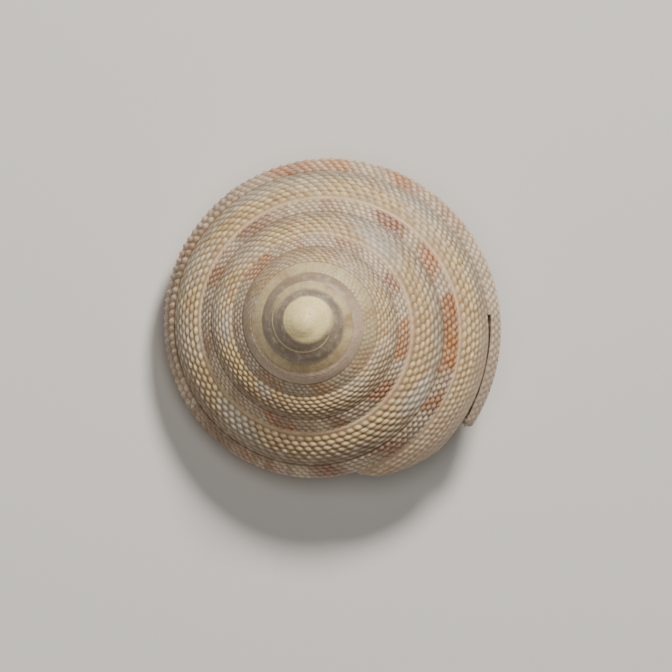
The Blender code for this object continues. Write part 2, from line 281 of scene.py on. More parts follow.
def chance(value, seed):
    """Smooth seeded noise from 0 to 1 with one bump for each whole number."""
    whole = np.floor(value)
    f = value - whole
    f = f * f * (3.0 - 2.0 * f)
    one, other = (np.sin((whole + step) * 127.1 + seed * 311.7) * 43758.5453 for step in (0, 1))
    return (one - np.floor(one)) * (1.0 - f) + (other - np.floor(other)) * f


def bead_value(along, across, spacing, row_spacing, seed):
    """Seeded value from 0 to 1 that stays the same over one bead."""
    row = np.round(across)
    return chance(np.round(along + 0.5 * row) * spacing + row_spacing * row, seed)


def upper_relief(turn, station, growth, lip, phase_inner, phase_outer):
    """(height, mask, tone) from the suture to the slit band."""
    x = station / BAND_TOP
    rows = row_number(turn, np.clip(x, 0.0, 1.0))
    phase = np.where(rows > 3.5, phase_outer, phase_inner)
    bead, mask, cord = bead_lattice(rows, phase, 0.10 + 0.04 * np.clip(rows, 0.0, 6.0))
    uneven = 0.8 + 0.4 * chance(phase + 17.0 * np.round(rows), 2.0)
    near_suture = ease(x, 0.0, 0.05)
    near_band = 1.0 - ease(x, 0.965, 1.0)
    grown = ease(turn, -2.75, -1.95)
    strength = near_suture * grown * (1.0 - 0.5 * ease(rows, 3.0, 7.0)) * (1.0 - 0.55 * lip)
    smooth_ridge = ease(turn, -1.35, -0.95) * (1.0 - ease(rows, 0.35, 0.6))
    faint_row = 0.35 * plateau(turn, -2.9, -2.45, 0.08) * hump(rows, 1.0, 0.5)
    strength = (strength * (1.0 - 0.9 * smooth_ridge) + faint_row) * near_band
    height = strength * (UPPER_CORD_HEIGHT * cord + UPPER_BEAD_HEIGHT * bead * uneven)
    ridge = hump(x, 0.065, 0.085) * ease(turn, -1.5, -0.9) * (1.0 - 0.5 * lip)
    growth_lines = (chance(170.0 * growth, 5.0) - 0.5) * near_suture * near_band
    height = height + SUTURE_RIDGE_HEIGHT * ridge + GROWTH_LINE_HEIGHT * growth_lines
    mask = strength * (1.2 * mask * uneven + 0.10 * cord)
    return height, mask, bead_value(phase, rows, 7.31, 17.0, 4.0)


def strip_relief(turn, station, lip, phase):
    """(height, mask) from the slit band to the keel, where two rows become one of blocks."""
    q = (station - STRIP_FIRST_ROW) / STRIP_ROW_STEP
    blocks = plateau(turn, -0.60, -0.34, 0.03)
    across = q * (1.0 - 0.5 * blocks) - 0.25 * blocks
    bead, mask, cord = bead_lattice(across, phase, 0.18 - 0.12 * blocks, 0.47)
    uneven = 0.85 + 0.3 * chance(phase + 31.0 * np.round(q), 3.0)
    strength = ease(turn, -3.5, -2.8) * (1.0 - 0.55 * lip) * ease(q, -0.4, 0.1)
    bead_height = STRIP_BEAD_HEIGHT + BLOCK_EXTRA_HEIGHT * blocks
    height = strength * (STRIP_CORD_HEIGHT * cord + bead_height * bead * uneven)
    return height, strength * (1.15 * mask * uneven + 0.12 * cord)


def base_relief(station, lip, phase):
    """(height, mask) from the keel to the navel."""
    q = (station - KEEL) / (COLUMELLA - KEEL)
    slant = 0.15 * (1.0 - ease(q, 0.0, 0.1))
    bead, mask, cord = bead_lattice(BASE_CORDS * q - 0.05, phase + 0.5, slant)
    strength = (1.0 - ease(q, 0.72, 0.92)) * (1.0 - 0.5 * lip)
    beaded = 1.0 - 0.75 * ease(q, 0.1, 0.8)
    bead_height = BASE_BEAD_HEIGHT + KEEL_EXTRA_HEIGHT * (1.0 - ease(q, 0.02, 0.12))
    height = strength * (BASE_CORD_HEIGHT * cord + bead_height * bead * beaded)
    return height, strength * (mask * beaded + 0.5 * cord * (1.0 - beaded))


def sculpture(turn, station, growth):
    """Height over the smooth surface as a share of the keel radius, bead mask and bead tone."""
    lip = ease(growth, -0.14, -0.02)
    phase_inner, phase_outer, phase = (np.interp(turn, PHASE_TURNS, phases) for phases in PHASES)
    upper = (station >= 0.0) & (station < BAND_TOP)
    in_strip = (station >= BAND_TOP) & (station <= KEEL)
    upper_height, upper_mask, upper_tone = upper_relief(
        turn, station, growth, lip, phase_inner, phase_outer)
    strip_height, strip_mask = strip_relief(turn, station, lip, phase)
    base_height, base_mask = base_relief(station, lip, phase)
    height = np.where(upper, upper_height, np.where(in_strip, strip_height, base_height))
    mask = np.where(upper, upper_mask, np.where(in_strip, strip_mask, base_mask))
    groove = hump(station, BAND_TOP, 0.022) * ease(turn, -4.8, -2.0)
    lower_tone = bead_value(phase, (station - KEEL) / (COLUMELLA - KEEL), 5.17, 23.0, 6.0)
    tone = np.where(upper, upper_tone, lower_tone)
    return height - BAND_GROOVE_DEPTH * groove, np.clip(mask, 0.0, 1.0), tone


def lip_rounding(row, depth):
    """Millimetres that the last two rows lose, which rounds the lip's edge."""
    return depth * np.clip(1.0 + row / 2.0, 0.0, 1.0) ** 2


def lip_wave(row, station):
    """Scallops of the lip's edge, and the rounded corner where the strip ends."""
    near = np.clip(1.0 + row / (0.012 * ROWS_PER_TURN), 0.0, 1.0) ** 2
    waves = 0.0012 * np.cos(2 * pi * station / STRIP_ROW_STEP) * (station > 0.02)
    corner = 0.0016 * (1.0 - ease(station, BAND_FOOT, 0.83)) * (station > BAND_FOOT - 0.001)
    return near * (waves - corner)


def outer_points(row, station):
    """Outer surface, its turns, and its bead mask and tone, for arrays of rows and stations."""
    row, station = np.broadcast_arrays(np.asarray(row, float), np.asarray(station, float))
    turn = turn_of(row, station) + lip_wave(row, station)
    lies_on = slit_side(row, station)
    size = growth_at(turn)[0][..., 0]
    growth = row / ROWS_PER_TURN
    height, mask, tone = sculpture(turn, station, growth)
    open_slit = ease(growth, -SLIT_LENGTH, -SLIT_LENGTH + 0.01)
    beside = 1.0 - ease(np.maximum(BAND_TOP - station, station - BAND_FOOT), 0.0, 0.035)
    height = height * (1.0 - open_slit * beside) - PIT_DEPTH * pit_depth(turn, station)
    height = height * size - lip_rounding(row, LIP_OFF_OUTSIDE)
    shift = outward(turn, lies_on) * height[..., None]
    return place(turn, section(turn, lies_on) + shift), turn, np.stack([mask, tone], -1)


def wall_at(row):
    return WALL_AT_LIP + (WALL_BEHIND - WALL_AT_LIP) * ease(-row / ROWS_PER_TURN, 0.0, LIP_RAMP)


def inner_points(row, station):
    turn = turn_of(row, station) + lip_wave(row, station)
    lies_on = slit_side(row, station)
    wall = (wall_at(row) - lip_rounding(row, LIP_OFF_INSIDE))[..., None]
    return place(turn, section(turn, lies_on) - outward(turn, lies_on) * wall)


class Surface:
    """Vertices, faces and colouring of the whole shell, gathered before it is cut in pieces."""

    def __init__(self):
        self.points = []
        self.fields = []
        self.faces = []
        self.count = 0

    def add(self, points, turn, station, growth, bead, inner):
        """Adds vertices and returns their numbers in the shape they came in."""
        shape = points.shape[:-1]
        size = int(np.prod(shape))
        self.points.append(points.reshape(-1, 3))
        beads = np.broadcast_to(bead, shape + (2,))
        values = (turn, station, growth, beads[..., 0], beads[..., 1], inner)
        columns = [np.broadcast_to(v, shape).reshape(-1) for v in values]
        self.fields.append(np.stack(columns, -1))
        numbers = np.arange(self.count, self.count + size).reshape(shape)
        self.count += size
        return numbers

    def add_faces(self, faces, piece):
        """Adds faces given clockwise as seen from outside, and keeps them the other way round."""
        faces = np.asarray(faces)
        self.faces.append((np.concatenate([faces[:, :1], faces[:, :0:-1]], 1), piece))


def grid_faces(one, other):
    """Quads between rows of vertex numbers: arrays of rows by columns."""
    quads = np.stack([one[:, :-1], one[:, 1:], other[:, 1:], other[:, :-1]], -1)
    return quads.reshape(-1, 4)


def bridge(one, other):
    """Triangles between two rows of (key, vertex) pairs, which may differ in number."""
    faces = []
    i, j = 0, 0
    while i < len(one) - 1 or j < len(other) - 1:
        next_i = one[i + 1][0] if i < len(one) - 1 else 1e9
        next_j = other[j + 1][0] if j < len(other) - 1 else 1e9
        if next_i <= next_j:
            corners = (one[i][1], one[i + 1][1], other[j][1])
            i += 1
        else:
            corners = (one[i][1], other[j + 1][1], other[j][1])
            j += 1
        if len(set(corners)) == 3:
            faces.append(corners)
    return faces


UPPER_CELLS = 60
GROOVE_CELLS = 4
BAND_CELLS = 18
STATIONS = np.concatenate([
    np.linspace(0.0, BAND_TOP, UPPER_CELLS + 1),
    np.linspace(BAND_TOP, BAND_FOOT, GROOVE_CELLS + 1)[1:],
    np.linspace(BAND_FOOT, KEEL, BAND_CELLS + 1)[1:],
])
SLIT_TOP = UPPER_CELLS
SLIT_FOOT = UPPER_CELLS + GROOVE_CELLS
LAST = len(STATIONS) - 1


def tier_columns(upper, groove, band):
    """Columns that are kept where the shell is small enough for fewer of them."""
    columns = list(range(0, SLIT_TOP, upper)) + list(range(SLIT_TOP, SLIT_FOOT, groove))
    return np.array(columns + list(range(SLIT_FOOT, LAST, band)) + [LAST])


SMALLEST_COLUMNS = np.array([0, 12, 24, 36, 48, 60, 64, 67, 70, 73, 76, LAST])
# Rows up to each turn take the columns of that tier. The last tier has no end.
TIERS = [(-3.7, SMALLEST_COLUMNS), (-2.75, tier_columns(2, 2, 2)), (9.0, tier_columns(1, 1, 1))]
# The mesh is cut in pieces: the outside at these turns, and the underside with the inside
PIECE_TURNS = [-2.2, -1.1]
SPIRE, WHORL, BODY, BASE = range(4)
PIECE_NAMES = {SPIRE: "shell_spire", WHORL: "shell_whorl", BODY: "shell_body", BASE: "shell_base"}


def build_outside(surface):
    """Outer surface from the first small turn to the lip. Returns the vertex numbers."""
    rows = np.arange(FIRST_ROW, 1)
    numbers = np.full((len(rows), LAST + 1), -1)
    turns = LIP_TURN + rows / ROWS_PER_TURN
    tier = np.searchsorted([limit for limit, _ in TIERS], turns)
    gap = ROWS_PER_TURN - LEAD_ROWS
    for level, (_, columns) in enumerate(TIERS):
        span = np.nonzero(tier == level)[0]
        row, station = np.meshgrid(rows[span].astype(float), STATIONS[columns], indexing="ij")
        points, turn, mask = outer_points(row, station)
        if level == 0:
            points[0, :] = points[0, 0]
        numbers[np.ix_(span, columns)] = surface.add(
            points, turn, station, row / ROWS_PER_TURN, mask, 0.0)
    numbers[0, :] = np.where(numbers[0] >= 0, numbers[0, 0], -1)
    numbers[gap:, 0] = numbers[:-gap, LAST]
    piece = np.searchsorted(PIECE_TURNS, turns)
    slit = len(rows) - 1 - SLIT_ROWS
    for level, (_, columns) in enumerate(TIERS):
        span = np.nonzero(tier == level)[0]
        for part in range(len(PIECE_TURNS) + 1):
            inside = span[(piece[span] == part) & (span < len(rows) - 1)]
            inside = inside[tier[inside + 1] == level]
            if not len(inside):
                continue
            grid = numbers[:, columns]
            faces = grid_faces(grid[inside], grid[inside + 1]).reshape(len(inside), -1, 4)
            if inside[-1] >= slit:
                open_cells = (columns[:-1] >= SLIT_TOP) & (columns[:-1] < SLIT_FOOT)
                keep = ~((inside[:, None] >= slit) & open_cells[None, :])
                faces = faces[keep]
            surface.add_faces(faces.reshape(-1, 4), part)
    for level in range(len(TIERS) - 1):
        last = np.nonzero(tier == level)[0][-1]
        one = [(STATIONS[c], numbers[last, c]) for c in TIERS[level][1]]
        other = [(STATIONS[c], numbers[last + 1, c]) for c in TIERS[level + 1][1]]
        surface.add_faces(bridge(one, other), piece[last])
    return numbers


def build_apex(surface, numbers):
    """Small dome inside the first turn."""
    gap = ROWS_PER_TURN - LEAD_ROWS
    loop = numbers[:gap, 0]
    points = np.concatenate(surface.points)
    rim = points[loop]
    rings = [loop]
    top = np.array([0.0, 0.0, -APEX_DEPTH * MM])
    for share in (0.7, 0.4):
        ring = rim * (share, share, 0.0)
        ring[:, 2] = top[2] + (rim[:, 2] - top[2]) * share ** 2
        rings.append(surface.add(ring, FIRST_TURN, 0.0, -6.6, 0.0, 0.0))
    for one, other in zip(rings, rings[1:]):
        wrap = np.stack([one, np.roll(one, -1), np.roll(other, -1), other], -1)
        surface.add_faces(wrap, SPIRE)
    middle = surface.add(top[None, :], FIRST_TURN, 0.0, -6.6, 0.0, 0.0)
    inner = rings[-1]
    fan = np.stack([np.full(gap, middle[0]), inner, np.roll(inner, -1)], -1)
    surface.add_faces(fan, SPIRE)


def build_base(surface, numbers):
    """Underside of the last turn, and its navel. Returns its first and last rows of vertices."""
    gap = ROWS_PER_TURN - LEAD_ROWS
    rows = np.arange(-gap, 1).astype(float)
    under = np.linspace(KEEL, COLUMELLA, BASE_CORDS * 5 + 1)[1:]
    core = np.array([2.1, 2.2, 2.35, 2.5, 2.65, 2.8, 2.9])
    stations = np.concatenate([under, core])
    row, station = np.meshgrid(rows, stations, indexing="ij")
    points, turn, mask = outer_points(row, station)
    grid = surface.add(points, turn, station, row / ROWS_PER_TURN, mask, 0.0)
    grid = np.concatenate([numbers[len(numbers) - 1 - gap:, LAST:], grid], 1)
    surface.add_faces(grid_faces(grid[:-1], grid[1:]), BASE)
    navel = surface.add(np.array([[0.0, 0.0, -NAVEL_DEPTH * MM]]), 0.0, NAVEL, -0.5, 0.0, 0.0)
    last = grid[:, -1]
    surface.add_faces(np.stack([last[:-1], np.full(gap, navel[0]), last[1:]], -1), BASE)
    keys = np.concatenate([[KEEL], stations])
    return [list(zip(keys, grid[end])) + [(NAVEL, navel[0])] for end in (0, -1)]


HOLLOW_OUTER = np.array([0.25, 0.40, 0.55, 0.70, 0.77, 0.91, 1.05, 1.15, 1.28, 1.42, 1.56, 1.72, 1.9])
HOLLOW_INNER = np.array([1.9, 1.7, 1.5, 1.3, 1.12])
# Station at which the round of the hollow comes back to the suture
FULL_ROUND = 6.0
# Station that marks the sides of the slit, which have no place of their own in the section
SLIT_WALL = 2.45


def between(values, parts):
    """The values with others put evenly between them."""
    steps = [np.linspace(a, b, parts + 1)[:-1] for a, b in zip(values, values[1:])]
    return np.concatenate(steps + [values[-1:]])


def build_hollow(surface):
    """Inside of the last turn: rings of vertices from the lip back to a closed end."""
    rows = np.arange(-HOLLOW_ROWS, 1).astype(float)
    outer = between(HOLLOW_OUTER, 2)
    inner = between(HOLLOW_INNER, 2)
    wall = wall_at(rows)
    corner_turn = turn_of(rows, np.zeros_like(rows))
    corner = section(corner_turn, 0.0) + np.stack([0.45 * wall, 1.6 * wall], -1)
    row, station = np.meshgrid(rows, outer, indexing="ij")
    outer_wall = inner_points(row, station)
    back = rows - ROWS_PER_TURN + LEAD_ROWS
    back_row, back_station = np.meshgrid(back, inner, indexing="ij")
    back_turn = turn_of(back_row, back_station)
    roof = place(back_turn, section(back_turn, back_station)
                 + outward(back_turn, back_station) * CALLUS)
    near = turn_of(rows, np.full_like(rows, HOLLOW_OUTER[-1]))
    far = turn_of(back, np.full_like(rows, HOLLOW_INNER[0])) + 1.0
    floor_point = section(near, HOLLOW_OUTER[-1]) - outward(near, HOLLOW_OUTER[-1]) * wall[:, None]
    roof_point = section(far - 1, HOLLOW_INNER[0]) + outward(far - 1, HOLLOW_INNER[0]) * CALLUS
    middle_point = place((near + far) / 2, (floor_point + roof_point) / 2)
    rings = np.concatenate([place(corner_turn, corner)[:, None], outer_wall,
                            middle_point[:, None], roof], 1)
    keys = np.concatenate([[0.0], outer, [NAVEL], FULL_ROUND - inner])
    centre = rings.mean(1, keepdims=True)
    closed = 0.7 * (1.0 - ease(rows + HOLLOW_ROWS, 0, HOLLOW_END_ROWS))[:, None, None]
    rings = rings * (1 - closed) + centre * closed
    grid = surface.add(rings, 0.0, keys, (rows / ROWS_PER_TURN)[:, None], 0.0, 1.0)
    loop = np.concatenate([grid, grid[:, :1]], 1)
    top = int(np.argmin(np.abs(keys - BAND_TOP)))
    foot = int(np.argmin(np.abs(keys - BAND_FOOT)))
    faces = grid_faces(loop[1:], loop[:-1]).reshape(len(rows) - 1, -1, 4)
    cells = np.arange(faces.shape[1])
    open_cells = (cells >= top) & (cells < foot)
    slit = rows[:-1] >= -SLIT_ROWS
    surface.add_faces(faces[~(slit[:, None] & open_cells[None, :])], BASE)
    end = surface.add(rings[:1].mean(1), 0.0, 0.0, -0.8, 0.0, 1.0)
    first = loop[0]
    surface.add_faces([(end[0], a, b) for a, b in zip(first, first[1:])], BASE)
    return grid, keys, top, foot


def build_rims(surface, numbers, hollow, base_ends):
    """Sides and end of the slit, and the edge of the lip round the mouth."""
    grid, keys, top, foot = hollow
    start, start_inside = len(numbers) - 1 - SLIT_ROWS, len(grid) - 1 - SLIT_ROWS
    points = np.concatenate(surface.points)
    for outer_column, inner_column, flip in ((SLIT_TOP, top, False), (SLIT_FOOT, foot, True)):
        edges = (numbers[start:, outer_column], grid[start_inside:, inner_column])
        one, other = (surface.add(points[edge], 0.0, SLIT_WALL, 0.0, 0.0, 0.0)[:, None] for edge in edges)
        pair = np.concatenate([other, one] if flip else [one, other], 1)
        surface.add_faces(grid_faces(pair[:-1], pair[1:]), BODY)
    ends = [(STATIONS[c], numbers[start, c]) for c in range(SLIT_TOP, SLIT_FOOT + 1)]
    behind = [(keys[c], grid[start_inside, c]) for c in range(top, foot + 1)]
    surface.add_faces(bridge(ends, behind), BODY)
    base_start, base_end = base_ends
    lip = [(STATIONS[c], numbers[-1, c]) for c in range(LAST + 1)] + base_end[1:]
    lip += [(FULL_ROUND - key, vertex) for key, vertex in reversed(base_start[:-1])]
    lip[-1] = (FULL_ROUND, numbers[-1, 0])
    ring = list(zip(keys, grid[-1])) + [(FULL_ROUND, grid[-1, 0])]
    for low, high in ((0.0, BAND_TOP), (BAND_FOOT, FULL_ROUND)):
        one = [p for p in lip if low - 1e-6 <= p[0] <= high + 1e-6]
        other = [p for p in ring if low - 1e-6 <= p[0] <= high + 1e-6]
        surface.add_faces(bridge(one, other), BASE)


# Patches of the strip below the slit band: first turn, last turn, strength, and how orange
PATCHES = [
    (-4.180, -4.130, 0.35, 1.0), (-4.030, -3.980, 0.55, 1.0), (-3.880, -3.680, 0.45, 0.7),
    (-3.340, -3.310, 0.25, 1.0), (-3.110, -3.080, 0.25, 1.0), (-3.045, -2.995, 0.45, 0.9),
    (-2.935, -2.868, 0.50, 1.0), (-2.800, -2.757, 0.80, 0.9), (-2.690, -2.620, 0.70, 0.5),
    (-2.520, -2.485, 0.60, 0.3), (-2.405, -2.335, 0.60, 0.6), (-2.290, -2.272, 0.40, 0.2),
    (-2.210, -2.155, 0.50, 0.2), (-2.095, -2.055, 0.80, 0.0), (-2.005, -1.940, 0.60, 0.8),
    (-1.900, -1.855, 0.95, 0.2), (-1.800, -1.775, 0.80, 0.2), (-1.745, -1.730, 0.40, 0.0),
    (-1.722, -1.672, 0.85, 0.3), (-1.645, -1.605, 0.28, 0.0), (-1.545, -1.513, 0.35, 0.5),
    (-1.472, -1.455, 0.10, 0.3), (-1.445, -1.410, 0.70, 0.3), (-1.395, -1.385, 0.35, 0.4),
    (-1.365, -1.310, 0.80, 0.0), (-1.245, -1.222, 0.50, 0.1), (-1.173, -1.128, 0.85, 0.0),
    (-1.102, -1.066, 1.00, 0.4), (-1.036, -0.990, 0.90, 0.5), (-0.990, -0.945, 1.00, 0.7),
    (-0.915, -0.897, 0.75, 0.7), (-0.853, -0.820, 0.70, 0.2), (-0.775, -0.742, 0.85, 0.0),
    (-0.702, -0.680, 0.80, 0.0), (-0.672, -0.655, 0.80, 0.0), (-0.632, -0.605, 0.75, 0.1),
    (-0.503, -0.482, 0.60, 0.2), (-0.463, -0.450, 0.50, 0.5), (-0.432, -0.405, 1.00, 0.5),
    (-0.360, -0.345, 0.25, 0.0), (-0.305, -0.280, 0.95, 0.3), (-0.280, -0.255, 0.50, 0.7),
    (-0.250, -0.222, 0.60, 1.0), (-0.182, -0.160, 0.85, 0.6), (-0.155, -0.146, 0.40, 0.3),
    (-0.127, -0.112, 0.60, 0.0), (-0.110, -0.097, 0.50, 0.2), (0.000, 0.012, 0.25, 0.0),
]
# Yellow-orange flames of the upper surface: turn, half length, place across, half width, strength
FLAMES = [
    (-4.840, 0.100, 0.15, 0.30, 0.25), (-2.965, 0.040, 0.40, 0.40, 0.3), (-2.680, 0.030, 0.60, 0.40, 0.4),
    (-2.630, 0.020, 0.35, 0.45, 0.5), (-2.385, 0.030, 0.78, 0.25, 0.5), (-2.060, 0.030, 0.35, 0.40, 0.3),
    (-2.000, 0.030, 0.25, 0.38, 0.8), (-1.962, 0.020, 0.12, 0.25, 0.5), (-1.880, 0.020, 0.05, 0.15, 0.5),
    (-1.790, 0.020, 0.45, 0.25, 0.4), (-1.775, 0.015, 0.08, 0.20, 0.6), (-1.690, 0.018, 0.85, 0.30, 0.8),
    (-1.600, 0.030, 0.15, 0.25, 0.5), (-1.545, 0.020, 0.12, 0.25, 0.5), (-1.437, 0.019, 0.18, 0.30, 0.9),
    (-1.345, 0.020, 0.10, 0.20, 0.4), (-1.255, 0.035, 0.35, 0.35, 0.6), (-1.215, 0.045, 0.15, 0.22, 0.8),
    (-1.165, 0.020, 0.10, 0.20, 0.5), (-1.070, 0.020, 0.50, 0.30, 0.4), (-0.990, 0.030, 0.20, 0.28, 0.9),
    (-0.955, 0.030, 0.30, 0.35, 0.9), (-0.900, 0.030, 0.12, 0.20, 0.5), (-0.857, 0.016, 0.20, 0.30, 0.8),
    (-0.845, 0.026, 0.52, 0.28, 1.0), (-0.790, 0.030, 0.12, 0.20, 0.3), (-0.600, 0.022, 0.22, 0.30, 0.8),
    (-0.555, 0.020, 0.10, 0.20, 0.4), (-0.478, 0.016, 0.12, 0.26, 0.8), (-0.485, 0.012, 0.45, 0.20, 0.5),
    (-0.362, 0.018, 0.24, 0.36, 0.9), (-0.343, 0.020, 0.55, 0.28, 0.5), (-0.290, 0.040, 0.12, 0.22, 0.6),
    (-0.235, 0.040, 0.25, 0.30, 0.5), (-0.215, 0.020, 0.60, 0.25, 0.5), (-0.160, 0.022, 0.06, 0.12, 0.9),
    (-0.110, 0.012, 0.55, 0.25, 0.5), (-0.082, 0.014, 0.20, 0.28, 0.8), (-0.055, 0.020, 0.12, 0.15, 0.4),
    (-0.012, 0.018, 0.12, 0.25, 0.7), (0.045, 0.015, 0.08, 0.18, 0.6), (0.085, 0.030, 0.50, 0.45, 0.4),
    (0.115, 0.018, 0.55, 0.40, 0.7), (0.165, 0.020, 0.20, 0.25, 0.6),
]
# Pale grey-mauve clouds of the upper surface, in the same order
CLEARINGS = [
    (-2.455, 0.030, 0.30, 0.45, 0.6), (-2.300, 0.050, 0.30, 0.40, 0.3), (-2.130, 0.050, 0.30, 0.40, 0.3),
    (-1.935, 0.030, 0.35, 0.35, 0.4), (-1.860, 0.040, 0.40, 0.40, 0.4), (-1.650, 0.015, 0.25, 0.25, 0.6),
    (-1.505, 0.025, 0.30, 0.25, 0.8), (-1.470, 0.030, 0.60, 0.30, 0.4), (-1.370, 0.030, 0.50, 0.40, 0.4),
    (-1.150, 0.035, 0.55, 0.45, 0.8), (-1.110, 0.020, 0.30, 0.30, 0.5), (-0.905, 0.025, 0.72, 0.28, 0.8),
    (-0.640, 0.030, 0.42, 0.40, 0.8), (-0.525, 0.015, 0.12, 0.20, 0.5), (-0.520, 0.030, 0.60, 0.30, 0.4),
    (-0.430, 0.030, 0.50, 0.30, 0.3), (-0.320, 0.020, 0.75, 0.30, 0.3), (-0.265, 0.020, 0.50, 0.20, 0.3),
    (-0.130, 0.030, 0.55, 0.35, 0.3),
]
# Small dark pits: turn, station and size
PITS = [(-0.4120, 0.543, 1.0), (-0.3065, 0.186, 1.0), (-6.1430, 0.890, 9.0)]


def pit_depth(turn, station):
    """Where the pits are, from 0 to 1."""
    total = np.zeros_like(turn)
    for centre, across, size in PITS:
        along = (turn - centre) / (0.0021 * size)
        away = np.sqrt(along ** 2 + ((station - across) / (0.022 * size)) ** 2)
        total = np.maximum(total, 1.0 - ease(away, 0.3, 1.0))
    return total


def spots(turn, x, table):
    """Soft-edged spots that lean as the growth lines do."""
    total = np.zeros_like(turn)
    for centre, half, across, width, strength in table:
        bent = np.abs(turn - centre + 0.05 * (x - across)) / (half * 1.35)
        away = np.sqrt(bent ** 2 + ((x - across) / (width * 1.25)) ** 2)
        total = np.maximum(total, min(1.2 * strength, 1.0) * (1.0 - ease(away, 0.40, 1.25)))
    return total


def patches(turn, edge):
    """Strength of the strip's patches, and how orange they are. They are soft on young whorls."""
    red, amber = np.zeros_like(turn), np.zeros_like(turn)
    for start, end, strength, orange in PATCHES:
        faint, width = (0.55, 0.022) if start < -2.45 else (1.0, edge)
        patch = np.minimum(1.1 * faint * strength, 1.0) * plateau(turn, start, end, width)
        red = np.maximum(red, patch)
        amber = np.maximum(amber, patch * orange)
    return red, amber


def apex_masks(turn, station, strip, face):
    """(dome, cream, ring): the cream dome alone, all that is cream, and the ring round the dome."""
    dome = 1.0 - ease(turn + 0.32 * station / BAND_TOP, -4.68, -4.50)
    ring_strip = strip * plateau(turn, -4.94, -4.42, 0.04)
    ring = (1.0 - dome) * (1.0 - ease(turn, -3.52, -3.30)) * face
    dome = dome * (1.0 - ring_strip)
    pale_strip = strip * ease(turn, -4.50, -4.34) * (1.0 - ease(turn, -3.2, -2.7))
    thread = 0.8 * hump(station, 0.885, 0.040) * plateau(turn, -4.90, -4.45, 0.04)
    cream = np.maximum(dome, np.maximum(0.5 * pale_strip, thread))
    return dome, cream, np.maximum(ring, 0.9 * ring_strip)


def painted_shade_lines(turn, station, growth, lip):
    """(groove shade, slit edge shade): painted shade, as a dark line in the groove at the slit band and
    along the suture, and as dark edges of the open slit.
    """
    band_groove_shade = hump(station, 0.702, 0.020) * ease(turn, -3.4, -2.2) * (1.0 - 0.6 * lip)
    suture_shade = 0.55 * (1.0 - ease(station / BAND_TOP, 0.0, 0.035)) * (turn > -4.0)
    beside = (np.abs(station - BAND_TOP) < 0.001) | (np.abs(station - BAND_FOOT) < 0.001)
    return np.maximum(band_groove_shade, suture_shade), 0.85 * beside * (growth > -SLIT_LENGTH)


def painted_brown_shade(turn, x, strip, on_face):
    """Painted shade: darker brown on parts of the older whorls and on a stretch of the strip, where these
    faces lie in shade.
    """
    older = plateau(turn, -1.93, -1.56, 0.06) + 0.6 * plateau(turn, -0.86, -0.54, 0.06)
    older = older + 0.5 * plateau(turn, -1.46, -1.04, 0.05) + 0.5 * plateau(turn, -2.50, -2.00, 0.05)
    blocks = strip * plateau(turn, -0.72, -0.36, 0.04)
    return np.maximum(ease(x, 0.25, 0.65) * on_face * older, 1.2 * blocks)


def base_flames(turn, station):
    """Wavy rays of the underside."""
    rays = np.sin(2 * pi * (11.0 * turn + 0.5 * np.sin(9.0 * station) + 2.2 * (station - KEEL)))
    rays = ease(rays + 0.35 * np.sin(2 * pi * (27.0 * turn - 1.3 * station)), 0.15, 0.9)
    return 0.75 * (station > KEEL) * rays * (1.0 - ease(station, BASE_LOW, 1.9))


